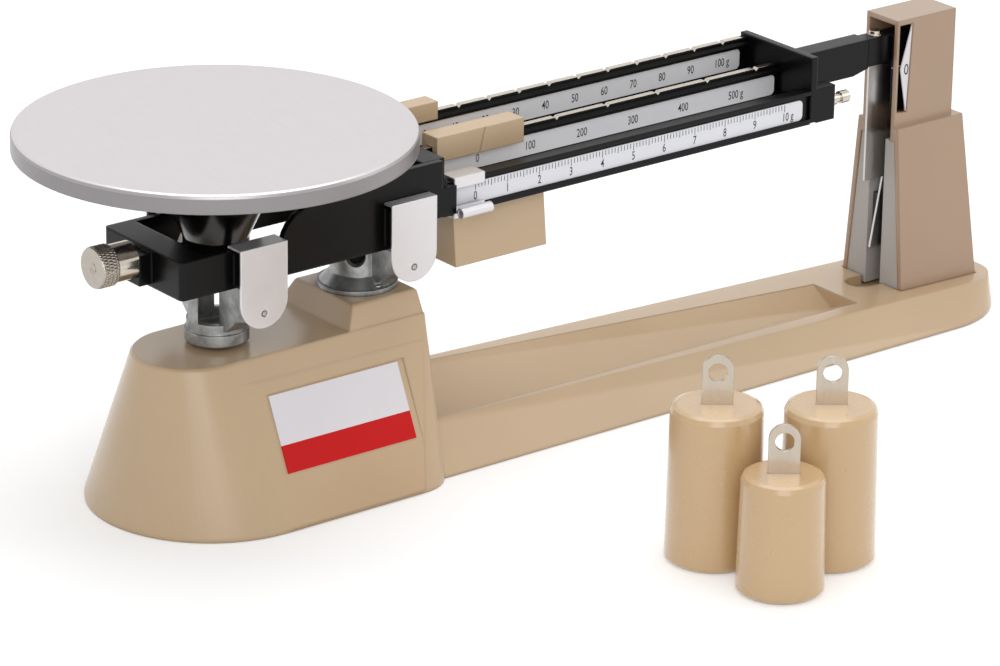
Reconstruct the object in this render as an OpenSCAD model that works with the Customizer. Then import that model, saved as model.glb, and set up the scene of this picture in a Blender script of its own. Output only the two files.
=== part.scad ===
// Triple beam balance with a round pan, three sliding poises and three hanging weights.
// Lengths are in millimetres. X runs from the pan to the tower, Y to the back, Z up.
// X = 0 and Y = 0 lie on the pan's axis, and Z = 0 is the bottom of the base.

/* [Pan and its support] */
// diameter of the round pan
pan_d = 150; // [100:1:200]
// height of the pan's top face above the bottom of the base
pan_top_z = 144.5; // [140:0.5:160]
// height of the pan's turned-down rim
pan_rim_h = 7.2; // [5:0.1:12]
// sheet thickness of the pan
pan_sheet = 1.0; // [0.6:0.1:2]
// diameter of the black cone where the pan rests on it
cone_top_d = 60; // [40:1:61]
// diameter of the black cone at its foot
cone_foot_d = 25; // [18:1:26]
// height of the cone's foot
cone_foot_z = 97; // [94:0.5:100]
// diameter of the yoke's round dish
dish_d = 24.3; // [20:0.1:24.6]
// height of the dish's underside
dish_z = 62.2; // [62.2:0.1:66]
// diameter of the rod that hangs down into the base
rod_d = 6; // [4:0.5:8]

/* [Pivots] */
// distance between the pan knife and the fulcrum knife along X
arm_x = 69; // [60:0.5:80]
// height of the pan knife's edge
pan_knife_z = 98; // [97:0.5:101]
// how far the fulcrum knife's edge lies above the pan knife's edge
arm_rise = 3; // [0:0.5:4]
// width of the base of each knife's triangle
knife_w = 5; // [4:0.5:7]
// height of each knife's triangle
knife_h = 5; // [4:0.5:7]
// gap between a knife's edge and the bottom of its bearing groove
knife_gap = 0.05; // [0.02:0.01:0.2]
// height of the check link's pivot under the pan
link_z = 24; // [18:0.5:30]
// diameter of the check link's pins
link_pin_d = 4; // [3:0.5:5]
// radial clearance of the check link on its pins
link_clear = 0.06; // [0.02:0.01:0.1]

/* [Bearing covers] */
// width of each chrome cover along X
cover_w = 21; // [16:0.5:26]
// height of each cover from its round bottom to its top
cover_h = 32; // [28:0.5:36]
// sheet thickness of the covers
cover_sheet = 0.8; // [0.5:0.1:1.2]
// outer face of the covers, measured from the centre plane
cover_y = 30.5; // [30.4:0.1:34]
// gap between the covers and the side walls of the frame
cover_gap = 0.4; // [0.3:0.1:0.6]
// diameter of the pin through each cover's lower end
cover_pin_d = 1.8; // [1.2:0.1:2.4]
// height of the pin above the cover's round bottom
cover_pin_up = 5.6; // [4:0.1:7]

/* [Beam frame] */
// half width of the frame over its side walls
frame_y = 25; // [24:0.1:28]
// thickness of the side walls
wall_t = 2.8; // [2:0.1:3.2]
// radius of the frame's upright corners at the left end
frame_r = 2; // [1:0.5:8]
// bottom of the frame
frame_z0 = 91; // [90:0.1:93]
// top of the frame's low part
frame_z1 = 105.7; // [103:0.1:107]
// outer face of the frame's left bar
frame_x0 = -33; // [-40:0.5:-30]
// width of the frame's left bar along X
bar_w = 12.5; // [8:0.5:16]
// where the frame's right-hand cross head starts
head_x0 = 80; // [79.5:0.5:84]
// where the cross head ends and the beams begin
head_x1 = 89.3; // [88:0.1:91]

/* [Beams] */
// distance of the rear and front beams from the centre plane
beam_y = 19; // [18:0.1:22]
// thickness of each beam's flanges along Y
flange_t = 5.4; // [5:0.1:6]
// thickness of each beam's web
web_t = 2.6; // [2:0.1:3.4]
// top of the rear beam
rear_top = 123; // [121:0.1:125]
// top of the middle beam
mid_top = 116.7; // [115:0.1:118]
// top of the front beam
front_top = 110.3; // [109:0.1:112]
// height of the rear and middle beams
beam_h = 18; // [16:0.5:20]
// height of the front beam
front_h = 13.8; // [13:0.1:16]
// where the beams meet the end plate
beam_x1 = 273.7; // [260:0.1:290]
// first notch of the rear beam
rear_notch_x = 112.1; // [108:0.1:116]
// pitch of the rear beam's ten notches
rear_pitch = 14.86; // [14:0.01:15]
// first notch of the middle beam
mid_notch_x = 134.7; // [130:0.1:138]
// pitch of the middle beam's five notches
mid_pitch = 25.5; // [24:0.01:26]
// depth of the notches
notch_deep = 1.1; // [0.6:0.1:1.4]
// height of the silver scale plates
scale_h = 8.4; // [8:0.1:8.6]
// thickness of the scale plates
scale_t = 0.5; // [0.3:0.1:0.8]

/* [End plate and pointer arm] */
// thickness of the end plate along X
end_t = 3.3; // [2.5:0.1:5]
// half width of the end plate
end_y = 21.7; // [20:0.1:24]
// top of the end plate
end_top = 124.1; // [123:0.1:127]
// bottom of the end plate
end_bottom = 97; // [92:0.1:99]
// half width of the pointer arm
arm_half = 4.5; // [3:0.1:5]
// top of the pointer arm
arm_top = 118.8; // [116:0.1:119]
// bottom of the pointer arm
arm_bottom = 104.6; // [103:0.1:108]
// where the arm's thin end begins
arm_thin_x = 320; // [314:0.5:322]
// end of the pointer arm
arm_x1 = 352; // [345:0.5:355]

/* [Tower] */
// left face of the tower
tower_x0 = 331; // [330:0.5:334]
// right face of the upper block
tower_x1 = 363; // [360:0.5:368]
// right edge of the tower's foot
tower_x2 = 373; // [370:0.5:376]
// top of the tower
tower_top = 125.5; // [125:0.1:130]
// height of the shoulder between the tower's two blocks
shoulder_z = 80; // [75:0.5:84]
// half width of the upper block
tower_y1 = 9.3; // [9:0.1:11]
// half width of the lower block at the shoulder
tower_y2 = 11.8; // [11:0.1:13]
// half width of the lower block at its foot
tower_y3 = 18; // [16:0.1:20]
// wall thickness of the tower
tower_wall = 1.8; // [1.4:0.1:2]
// underside of the tower in the base's recess
tower_z0 = 7.3; // [7:0.1:8.5]

/* [Base] */
// centre of the boot's round end at the floor
boot_x0 = -2.5; // [-8:0.5:0]
// radius of the boot's round end at the floor
boot_r0 = 48.3; // [44:0.1:50]
// radius of the boot's round end at its top
boot_r1 = 22.5; // [20:0.1:24]
// height of the boot's top
boot_top = 60.5; // [58:0.1:61]
// height of the pedestal under the fulcrum
pedestal_top = 69.2; // [67:0.1:70]
// right face of the boot and the pedestal
boot_x1 = 80; // [78:0.5:84]
// half width of the channel at the floor
channel_y = 41.7; // [38:0.1:45]
// top of the channel beside the boot
channel_z0 = 18.4; // [16:0.1:20]
// top of the channel and the platform at the tower
channel_z1 = 10.3; // [10:0.1:12]
// right end of the base
base_x1 = 384; // [382:0.5:390]
// wall thickness of the hollow boot
base_wall = 3; // [2.5:0.1:3.5]
// thickness of the plate under the boot
plate_t = 1.5; // [1.2:0.1:2]

/* [Poises] */
// length of the middle poise
mid_poise_l = 42; // [38:0.5:44]
// left end of the middle poise at zero
mid_poise_x = 98; // [97:0.5:100]
// half width of the middle poise's hanging body
mid_poise_y = 18.5; // [14:0.5:20]
// underside of the middle poise's hanging body
mid_poise_z = 73.5; // [70:0.5:80]
// length of the rear poise
rear_poise_l = 19.4; // [16:0.1:19.6]
// right end of the rear poise at zero
rear_poise_x = 114.6; // [112.8:0.1:118]
// width of the front poise along X
front_poise_l = 14.5; // [12:0.5:16]
// left end of the front poise at zero
front_poise_x = 93.6; // [93.4:0.1:95]
// running clearance of a poise beside its beam
poise_clear = 0.3; // [0.25:0.05:0.4]

/* [Zero knob] */
// diameter of the knurled head
knob_d = 16; // [14:0.5:18]
// length of the knurled head
knob_l = 7.2; // [6:0.1:10]
// diameter of the smooth collar
collar_d = 14.5; // [12:0.5:15]
// length of the smooth collar
collar_l = 8.8; // [7:0.1:10]
// height of the knob's axis
knob_z = 101.4; // [98:0.1:101.6]
// diameter of the threaded stud
stud_d = 5; // [4:0.5:6]
// length of the frame's boss behind the collar
boss_l = 5.5; // [4:0.1:7]
// gap between the boss and the collar at rest
knob_gap = 0.4; // [0.3:0.1:1]

/* [Hanging weights] */
// foot diameter of the two large weights
big_d = 36; // [30:0.5:38]
// height of the two large weights
big_h = 60; // [50:0.5:64]
// foot diameter of the small weight
small_d = 32.5; // [28:0.5:34]
// height of the small weight
small_h = 45; // [38:0.5:50]
// centre of the left weight on the floor
left_at = [110.3, -157.5];
// centre of the right weight on the floor
right_at = [143.6, -182.3];
// centre of the small weight on the floor
small_at = [110.9, -194.0];
// width of the nickel straps
strap_w = 11.5; // [9:0.5:14]
// height of the straps above the weights
strap_up = 19; // [16:0.5:24]
// thickness of the straps
strap_t = 1.4; // [1:0.1:2]
// diameter of the hole in each strap
strap_hole_d = 7; // [5:0.5:8]
// angle of the straps about the vertical
strap_turn = -38; // [-90:1:90]

/* [Hidden] */
$fn = 64;
// small overshoot of every cut
e = 0.05;
// height of the fulcrum knife's edge
fulcrum_z = pan_knife_z + arm_rise;
// outer face of the boss behind the zero knob
knob_x = frame_x0 - boss_l;
// right face of the stop block beside the front beam
stop_x = front_poise_x - 0.6;
// outer face of the frame's opening towards the pan
open_x0 = frame_x0 + bar_w;
// inner face of the side walls
wall_in = frame_y - wall_t;
// height of the check link's pivot under the fulcrum
link_z1 = link_z + arm_rise;
// gap between the base casting and parts let into it
let_gap = 0.3;
// right edge of the hollow in the boot
hollow_x1 = boot_x1 - base_wall - 3;
// places of the four screws and pads under the boot
post_at = [[-16, 22], [-16, -22], [58, 26], [58, -26]];
// half width of the slot in the tower's left face
slot_half = arm_half + 1.5;

black = [0.07, 0.07, 0.075];
tan_paint = [0.72, 0.62, 0.49];
tower_paint = [0.69, 0.59, 0.50];
chrome = [0.78, 0.78, 0.79];
zinc = [0.60, 0.62, 0.63];
steel = [0.70, 0.70, 0.71];
silver = [0.82, 0.83, 0.84];
weight_paint = [0.80, 0.70, 0.55];

// Shared shapes

// box between two corners
module box(a, b) {
    translate(a)
        cube([b[0] - a[0], b[1] - a[1], b[2] - a[2]]);
}

// bar along Y with the given outline in X and Z
module prism_y(outline, y0, y1) {
    translate([0, y1, 0])
        rotate([90, 0, 0])
            linear_extrude(y1 - y0)
                polygon(outline);
}

// bar along X with the given outline in Y and Z
module prism_x(outline, x0, x1) {
    translate([x0, 0, 0])
        rotate([90, 0, 90])
            linear_extrude(x1 - x0)
                polygon(outline);
}

// cylinder along Y between two planes
module rod_y(x, z, d, y0, y1) {
    translate([x, y0, z])
        rotate([-90, 0, 0])
            cylinder(d = d, h = y1 - y0);
}

// cylinder along X between two planes
module rod_x(y, z, d, x0, x1) {
    translate([x0, y, z])
        rotate([0, 90, 0])
            cylinder(d = d, h = x1 - x0);
}

// front and rear copies of the same shape
module both_sides() {
    children();
    mirror([0, 1, 0])
        children();
}

// Base

module boot_outside() {
    hull() {
        translate([boot_x0, 0, 0])
            cylinder(r = boot_r0, h = 1.5, $fn = 96);
        translate([boot_x1 - 18, 31, 0])
            cylinder(r = boot_r0 - 31, h = 1.5, $fn = 48);
        translate([boot_x1 - 18, -31, 0])
            cylinder(r = boot_r0 - 31, h = 1.5, $fn = 48);
        translate([boot_x0 - 9.5, 0, boot_top - 1.5])
            cylinder(r = boot_r1, h = 0.5, $fn = 96);
        translate([boot_x0 - 9.5, 0, boot_top - 1])
            cylinder(r = boot_r1 - 1, h = 1, $fn = 96);
        translate([boot_x1 - 2, -boot_r1, boot_top - 1])
            cube([2, boot_r1 * 2, 1]);
    }
}

// half width of the pedestal, just inside the plane of the sloping sides
function side_y(z) = boot_r1 - 0.1 + (boot_top - 1 - z) * (boot_r0 - boot_r1) / (boot_top - 2.5);

module pedestal() {
    hull() {
        box([44, -side_y(boot_top - 2), boot_top - 2.1],
            [boot_x1 - 0.1, side_y(boot_top - 2), boot_top - 2]);
        box([49, -side_y(pedestal_top - 0.8), pedestal_top - 0.9],
            [boot_x1 - 0.6, side_y(pedestal_top - 0.8), pedestal_top - 0.8]);
        box([49.6, -side_y(pedestal_top) + 0.4, pedestal_top - 0.1],
            [boot_x1 - 1.2, side_y(pedestal_top) - 0.4, pedestal_top]);
    }
}

// channel and platform between two cross sections
module channel_outside() {
    hull() {
        prism_x([[-channel_y, 0], [channel_y, 0], [31, channel_z0 - 1],
            [30, channel_z0], [-27.5, channel_z0], [-28.5, channel_z0 - 1]],
            70, 72);
        prism_x([[-26, channel_z1 - 1], [24, channel_z1 - 1],
            [23, channel_z1], [-25, channel_z1]], 345, 346);
        translate([base_x1 - channel_y, 0, 0])
            cylinder(r = channel_y, h = 1, $fn = 96);
        translate([base_x1 - 18, -10, channel_z1 - 1])
            cylinder(r = 16, h = 1, $fn = 64);
        translate([base_x1 - 18, 8, channel_z1 - 1])
            cylinder(r = 16, h = 1, $fn = 64);
    }
}

// sloping trough in the channel's top
module trough() {
    hull() {
        prism_x([[-28, channel_z0 + 1], [-27, channel_z0 - 0.6], [-4, 6.2],
            [28, channel_z0 - 0.4], [28, channel_z0 + 1]], boot_x1 + 3, boot_x1 + 4);
        prism_x([[-19, 14], [-19, 12], [-3, 5.5], [8, 12], [8, 14]], 305, 306);
    }
}

module boot_hollow() {
    hull() {
        translate([boot_x0, 0, -1])
            cylinder(r = boot_r0 - base_wall, h = 2, $fn = 96);
        translate([boot_x1 - 22, 28, -1])
            cylinder(r = boot_r0 - base_wall - 28, h = 2, $fn = 48);
        translate([boot_x1 - 22, -28, -1])
            cylinder(r = boot_r0 - base_wall - 28, h = 2, $fn = 48);
        translate([boot_x0 - 9.5, 0, boot_top - base_wall - 1])
            cylinder(r = boot_r1 - base_wall, h = 1, $fn = 96);
        translate([hollow_x1 - 2, -17, boot_top - base_wall - 1])
            cube([2, 34, 1]);
    }
}

module screw_posts() {
    for (p = post_at)
        translate([p[0], p[1], plate_t])
            cylinder(d = 9, h = boot_top - plate_t - 1);
}

module base_casting() {
    color(tan_paint)
    difference() {
        union() {
            difference() {
                union() {
                    boot_outside();
                    front_step();
                    pedestal();
                    channel_outside();
                }
                boot_hollow();
                trough();
                // hollow under the channel
                box([boot_x1 + 6, -34, -1], [296, 29, 2.6]);
            }
            intersection() {
                screw_posts();
                boot_outside();
            }
        }
        // hole for the yoke's rod
        translate([0, 0, boot_top - 8])
            cylinder(d = rod_d + 7, h = 12);
        // blind holes for the plate's screws
        for (p = post_at)
            translate([p[0], p[1], -1])
                cylinder(d = 3.2, h = 14);
        // blind holes for the support's screws
        for (y = [-12.7, 12.7])
            translate([arm_x - 4, y, pedestal_top - 9])
                cylinder(d = 3.2, h = 12);
        // recess that takes the tower
        box([tower_x0 - 0.4, -tower_y3 - 0.4, tower_z0],
            [tower_x2 + 0.4, tower_y3 + 0.4, channel_z1 + 3]);
        // round pocket in front of the tower's open side
        translate([tower_x0 - 7, -0.5, tower_z0])
            cylinder(d = 12, h = 10);
        box([tower_x0 - 7, -6.5, tower_z0], [tower_x0, 5.5, tower_z0 + 10]);
        // shallow step for the label on the sloping front
        label_frame()
            prism_x([[-6, 10], [label_face(10), 10], [label_face(50), 50], [-6, 50]], 2, 65.5);
    }
}

// frame that lies on the boot's sloping front, with Z up the slope
module label_frame() {
    translate([0, -boot_r0, 1.5])
        rotate([-label_lean, 0, 0])
            children();
}
// lean of the boot's front face from the vertical
label_lean = atan2(boot_r0 - boot_r1, boot_top - 2.5);
// how far the flat step stands out of the sloping front
step_out = 0.6;
// place of the label's floor in the label frame, at a given height up the slope
function label_face(z) = -step_out + 0.6 * (z - 12) / 38;
// thickness of the label's sheet
label_t = 0.4;

// flat step on the sloping front that fades out to the left
module front_step() {
    label_frame()
        hull() {
            prism_y([[boot_x0 - 1, -0.5], [boot_x0, -0.5], [boot_x0 - 7, 56.4],
                [boot_x0 - 8, 56.4]], 0.1, 0.4);
            prism_y([[1.5, -0.5], [61, -0.5], [76.5, 54.6], [1.5, 54.6]], -step_out, 0.4);
        }
}

// flat sheet on the label's floor between two heights
module label_sheet(z0, z1) {
    label_frame()
        prism_x([[label_face(z0) - label_t, z0], [label_face(z0), z0],
            [label_face(z1), z1], [label_face(z1) - label_t, z1]], 3, 62.5);
}

module label_plate() {
    color([0.93, 0.93, 0.93])
        label_sheet(30.3, 49.3);
}

module label_band() {
    color([0.80, 0.12, 0.11])
        label_sheet(19.7, 30.3);
}

module base_plate() {
    color([0.25, 0.25, 0.26])
    difference() {
        intersection() {
            linear_extrude(plate_t)
                plate_outline();
            box([-80, -80, 0], [100, 80, plate_t]);
        }
        for (p = post_at)
            translate([p[0], p[1], -1])
                cylinder(d = 3.6, h = 4);
        for (p = pad_at)
            translate([p[0], p[1], -1])
                cylinder(d = 12.4, h = 1.8);
    }
}
// places of the four rubber pads
pad_at = [[-29, 12], [-29, -12], [46, 26], [46, -26]];

module plate_outline() {
    difference() {
        hull() {
            translate([boot_x0, 0])
                circle(r = boot_r0 - base_wall - let_gap - 0.3, $fn = 96);
            translate([boot_x1 - 22, 28])
                circle(r = boot_r0 - base_wall - 28 - let_gap - 0.3, $fn = 48);
            translate([boot_x1 - 22, -28])
                circle(r = boot_r0 - base_wall - 28 - let_gap - 0.3, $fn = 48);
        }
    }
}

module base_pads() {
    color([0.10, 0.10, 0.10])
    for (p = pad_at)
        translate([p[0], p[1], 0])
            cylinder(d = 12, h = 0.8);
}

module plate_screws() {
    color(steel)
    for (p = post_at)
        translate([p[0], p[1], 0.4])
            cylinder(d = 3, h = 10);
}

module link_bracket() {
    color(zinc)
    difference() {
        union() {
            box([arm_x - 4, -6, link_z1 - 5], [arm_x + 4, 6, boot_top - base_wall]);
        }
        box([arm_x - 6, -2.6, link_z1 - 6], [arm_x + 6, 2.6, link_z1 + 9]);
        rod_y(arm_x, link_z1, link_pin_d + 2 * link_clear, -7, 7);
    }
}

module check_link() {
    color(steel)
    difference() {
        union() {
            prism_y([[4, link_z - 2.5], [arm_x, link_z1 - 2.5],
                [arm_x, link_z1 + 2.5], [4, link_z + 2.5]], -2, 2);
            rod_y(0, link_z, 9, 2, 4);
            rod_y(0, link_z, 9, -4, -2);
            box([3.8, -4, link_z - 2.4], [8, 4, link_z + 2.4]);
            rod_y(arm_x, link_z1, link_pin_d, -6, 6);
            rod_y(arm_x, link_z1, 7, -2, 2);
        }
        rod_y(0, link_z, 9.6, -2, 2);
        rod_y(0, link_z, link_pin_d + 2 * link_clear, -5, 5);
    }
}

// Fulcrum support

module fulcrum_support() {
    color(zinc)
    difference() {
        union() {
            translate([arm_x - 4, 0, pedestal_top])
                cylinder(d = 31, h = 2);
            translate([arm_x - 4, 0, pedestal_top + 2])
                cylinder(d1 = 29, d2 = 21, h = 4);
            difference() {
                translate([arm_x - 4, 0, pedestal_top + 6])
                    cylinder(d = 21, h = upright_z - pedestal_top - 6);
                // windows in the cup
                for (a = [-50, 50])
                    translate([arm_x - 4, 0, 0])
                        rotate([0, 0, a])
                            rod_x(0, upright_z - 5.5, 7.5, -20, 20);
            }
            both_sides() {
                prism_x([[-8, 72.5], [-14, 73.5], [-20, 78.5], [cover_out, 80.6],
                    [cover_out, upright_z], [-8, upright_z]], arm_x - 5, arm_x + 5);
                box([arm_x - 5, cover_out, upright_z - 1],
                    [arm_x + 5, cover_in, fulcrum_z - 1.4]);
            }
        }
        // hollow in the foot and the cup
        translate([arm_x - 4, 0, pedestal_top - 1])
            cylinder(d = 13, h = upright_z - pedestal_top - 2);
        // screw holes in the flange
        for (y = [-12.7, 12.7])
            translate([arm_x - 4, y, pedestal_top - 1])
                cylinder(d = 3.2, h = 4.2);
        // pockets for the bearings
        both_sides()
            box([arm_x - 3.5, cover_out + 0.7, fulcrum_z - 5],
                [arm_x + 3.5, -frame_y, fulcrum_z]);
        // holes for the covers' pins
        both_sides()
            rod_y(arm_x, cover_bottom(arm_rise) + cover_pin_up, cover_pin_d, -cover_y - 1, -15);
    }
}

// height of a cover's round bottom, for a cover raised by the given amount
function cover_bottom(up) = 107.1 + up - cover_h;
// inner face of the front covers' outer sheet
cover_out = -cover_y + cover_sheet;
// inner end of the front covers' top sheet
cover_in = -frame_y - cover_gap;
// top of the uprights where they are as wide as the covers
upright_z = 88.5;

module support_screws() {
    color(steel)
    for (y = [-12.7, 12.7])
        translate([arm_x - 4, y, pedestal_top - 7])
            cylinder(d = 3, h = 10);
}

// groove block that takes a knife's edge from above
module fulcrum_bearings() {
    color([0.75, 0.35, 0.22])
    both_sides()
        difference() {
            box([arm_x - 3.5, cover_out + 0.7, fulcrum_z - 5],
                [arm_x + 3.5, -frame_y - 0.4, fulcrum_z - knife_gap + 1]);
            prism_y([[arm_x, fulcrum_z - knife_gap], [arm_x + 3.4, fulcrum_z + 2],
                [arm_x - 3.4, fulcrum_z + 2]], -cover_y - 1, -frame_y + 1);
        }
}

// folded chrome cover at the front, raised by the given amount
module cover(x, up, inner) {
    difference() {
        union() {
            intersection() {
                box([x - cover_w / 2, -cover_y, cover_bottom(up)],
                    [x + cover_w / 2, cover_out, 107.1 + up]);
                union() {
                    rod_y(x, cover_bottom(up) + cover_w / 2, cover_w, -60, 0);
                    box([x - cover_w / 2, -60, cover_bottom(up) + cover_w / 2],
                        [x + cover_w / 2, 0, 107.1 + up]);
                }
            }
            box([x - cover_w / 2, -cover_y, 107.1 + up - cover_sheet],
                [x + cover_w / 2, inner, 107.1 + up]);
        }
        rod_y(x, cover_bottom(up) + cover_pin_up, cover_pin_d + 1, -60, 0);
    }
}

module fulcrum_cover_front() {
    color(chrome)
        cover(arm_x, arm_rise, cover_in);
}

module fulcrum_cover_rear() {
    color(chrome)
    mirror([0, 1, 0])
        cover(arm_x, arm_rise, cover_in);
}

module cover_pins() {
    color(steel)
    both_sides()
        rod_y(arm_x, cover_bottom(arm_rise) + cover_pin_up, cover_pin_d,
            -cover_y, cover_in);
}

// Pan support

module pan_yoke() {
    color(zinc)
    difference() {
        union() {
            difference() {
                union() {
                    translate([0, 0, dish_z])
                        cylinder(d = dish_d, h = 4.5);
                    difference() {
                        translate([0, 0, dish_z + 4])
                            cylinder(d = dish_d - 1.5, h = upright_z - dish_z - 4);
                        // windows in the cup
                        for (a = [-50, 50])
                            rotate([0, 0, a])
                                box([-15, -6.2, dish_z + 8.5], [15, 6.2, upright_z - 3]);
                    }
                    both_sides()
                        prism_x([[-8, 68], [-13, 69], [-19, 74.5], [cover_out, 77.6],
                            [cover_out, upright_z], [-8, upright_z]], -4.5, 4.5);
                }
                // hollow of the cup
                translate([0, 0, dish_z + 4])
                    cylinder(d = dish_d - 6, h = upright_z - dish_z - 7);
            }
            translate([0, 0, upright_z - 3])
                cylinder(d = 10, h = cone_foot_z - upright_z + 3);
            both_sides()
                box([-5, cover_out, upright_z - 1], [5, cover_in, pan_knife_z - knife_h - 0.6]);
            difference() {
                translate([0, 0, link_z - 4])
                    cylinder(d = rod_d, h = dish_z - link_z + 5);
                // flats where the link's fork grips the rod
                both_sides()
                    box([-rod_d, -rod_d, link_z - 5], [rod_d, -1.8, link_z + 6]);
            }
            rod_y(0, link_z, link_pin_d, -4, 4);
        }
        both_sides()
            rod_y(0, cover_bottom(0) + cover_pin_up, cover_pin_d, -cover_y - 1, -15);
        // socket for the cone's stem
        translate([0, 0, cone_foot_z - 8])
            cylinder(d = 6, h = 10);
    }
}

module pan_cone() {
    color(black)
    union() {
        translate([0, 0, cone_foot_z])
            cylinder(d = cone_foot_d, h = 6);
        translate([0, 0, cone_foot_z + 6])
            cylinder(d1 = cone_foot_d, d2 = cone_top_d,
                h = pan_top_z - pan_sheet - 3 - cone_foot_z - 6);
        translate([0, 0, pan_top_z - pan_sheet - 3])
            cylinder(d = cone_top_d, h = 3);
        translate([0, 0, cone_foot_z - 8])
            cylinder(d = 6, h = 9);
    }
}

// groove block that hangs in each cover and rides on the pan knife
module pan_bearings() {
    color([0.75, 0.35, 0.22])
    both_sides()
        difference() {
            box([-4, cover_out, pan_knife_z + knife_gap - 1],
                [4, -frame_y - 0.4, 107.1 - cover_sheet]);
            prism_y([[0, pan_knife_z + knife_gap], [3.4, pan_knife_z - 2],
                [-3.4, pan_knife_z - 2]], -cover_y - 1, -frame_y + 1);
        }
}

module pan_cover_front() {
    color(chrome)
        cover(0, 0, -wall_in);
}

module pan_cover_rear() {
    color(chrome)
    mirror([0, 1, 0])
        cover(0, 0, -wall_in);
}

module yoke_pins() {
    color(steel)
    both_sides()
        rod_y(0, cover_bottom(0) + cover_pin_up, cover_pin_d,
            -cover_y, cover_in);
}

module pan_plate() {
    color([0.80, 0.79, 0.78])
    translate([0, 0, pan_top_z - pan_rim_h])
        rotate_extrude($fn = 128)
            polygon([[0, pan_rim_h - pan_sheet], [pan_d / 2 - 2.2, pan_rim_h - pan_sheet],
                [pan_d / 2 - 1.3, pan_rim_h - pan_sheet - 0.9], [pan_d / 2 - 1, 0],
                [pan_d / 2, 0], [pan_d / 2, pan_rim_h - 1.5],
                [pan_d / 2 - 0.45, pan_rim_h - 0.45], [pan_d / 2 - 1.5, pan_rim_h],
                [0, pan_rim_h]]);
}

// Beam frame

// front wall that rises in a curve towards the cross head
module side_wall() {
    prism_y([[frame_x0 + frame_r, frame_z0], [head_x0, frame_z0], [head_x0, head_z],
        [86.5, head_z], [86.5, wall_top], [46, wall_top], [34, wall_top - 1.5],
        [24, wall_top - 4.2], [18.2, wall_top - 7.2], [15.2, wall_top - 10.1],
        [13.4, wall_top - 13], [12.7, frame_z1],
        [frame_x0 + frame_r, frame_z1]], -frame_y, -wall_in);
}

// pair of lugs beside a knife, under the cover
module knife_lugs(x, z0, z1) {
    for (s = [-1, 1])
        box([x + s * 7.9 - 1.7, cover_out + 0.5, z0], [x + s * 7.9 + 1.7, -frame_y + 1, z1]);
}

// bar across the frame's left end, with round upright corners
module left_bar() {
    box([frame_x0 + frame_r, -frame_y, frame_z0], [open_x0, frame_y, frame_z1]);
    box([frame_x0, -frame_y + frame_r, frame_z0], [open_x0, frame_y - frame_r, frame_z1]);
    box([knob_x, -6.2, frame_z0 + 1.5], [frame_x0 + 1, 6.2, frame_z1 - 1.5]);
    both_sides()
        translate([frame_x0 + frame_r, -frame_y + frame_r, frame_z0])
            cylinder(r = frame_r, h = frame_z1 - frame_z0);
}

module beam_frame() {
    color(black)
    difference() {
        union() {
            left_bar();
            both_sides() {
                side_wall();
                knife_lugs(0, 92, 104.6);
                knife_lugs(arm_x, 93, 107.4);
            }
            box([head_x0 - 1, -frame_y + 1, head_z], [head_x1, frame_y - 1, 113]);
            box([head_x0 - 1, -frame_y + 3, 112], [head_x1, frame_y - 3, wall_top]);
            // stop block at the front beam's end
            box([84.5, -frame_y, head_z],
                [stop_x, -beam_y - flange_t / 2 - 0.4, 109.6]);
        }
        // seats of the knives in the side walls
        both_sides() {
            prism_y(fulcrum_edge, -frame_y - 1, -wall_in + 0.3);
            prism_y(pan_edge, -frame_y - 1, -wall_in + 0.3);
        }
        // threaded hole of the zero stud
        rod_x(0, knob_z, stud_d, knob_x - 1, frame_x0 + 9);
    }
}
// top of the walls at the cross head
wall_top = 120.5;
// underside of the cross head
head_z = 98.3;

// outline of the fulcrum knife with its edge down
fulcrum_edge = [[arm_x, fulcrum_z], [arm_x + knife_w / 2, fulcrum_z + knife_h],
    [arm_x - knife_w / 2, fulcrum_z + knife_h]];
// outline of the pan knife with its edge up
pan_edge = [[0, pan_knife_z], [knife_w / 2, pan_knife_z - knife_h],
    [-knife_w / 2, pan_knife_z - knife_h]];

module fulcrum_knife() {
    color(steel)
    both_sides()
        prism_y(fulcrum_edge, cover_out + 0.9, -wall_in);
}

module pan_knife() {
    color(steel)
    both_sides()
        prism_y(pan_edge, cover_out + 0.9, -wall_in);
}

module zero_stud() {
    color(steel)
        rod_x(0, knob_z, stud_d, knob_x - knob_gap - collar_l + 1, frame_x0 + 9);
}

module knob_collar() {
    color(steel)
    difference() {
        rod_x(0, knob_z, collar_d, knob_x - knob_gap - collar_l, knob_x - knob_gap);
        rod_x(0, knob_z, stud_d + 0.1, knob_x - knob_gap - collar_l - 1, knob_x);
    }
}

module knob_head() {
    color(steel)
    difference() {
        rod_x(0, knob_z, knob_d, knob_x - knob_gap - collar_l - knob_l,
            knob_x - knob_gap - collar_l);
        // dimple in the end face
        rod_x(0, knob_z, stud_d, knob_x - knob_gap - collar_l - knob_l - 1,
            knob_x - knob_gap - collar_l - knob_l + 0.8);
    }
}

// Beams

// one beam with flanges, from the cross head to the end plate
module beam(y, top, h) {
    box([head_x1, y - web_t / 2, top - h], [beam_x1, y + web_t / 2, top]);
    box([head_x1, y - flange_t / 2, top - h], [beam_x1, y + flange_t / 2, top - h + 2.2]);
}

// upper flange just above the scale plate
module upper_flange(y, z) {
    box([head_x1, y - flange_t / 2, z], [beam_x1, y + flange_t / 2, z + 1.6]);
}

module notches(y, top, x, pitch, count) {
    for (i = [0 : count])
        prism_y([[x + i * pitch, top - notch_deep], [x + i * pitch + notch_deep, top + e],
            [x + i * pitch - notch_deep, top + e]], y - 4, y + 4);
}

module beam_rear() {
    color(black)
    difference() {
        union() {
            beam(beam_y, rear_top, beam_h);
            upper_flange(beam_y, rear_scale + scale_h + 0.3);
        }
        notches(beam_y, rear_top, rear_notch_x, rear_pitch, 10);
    }
}

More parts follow.
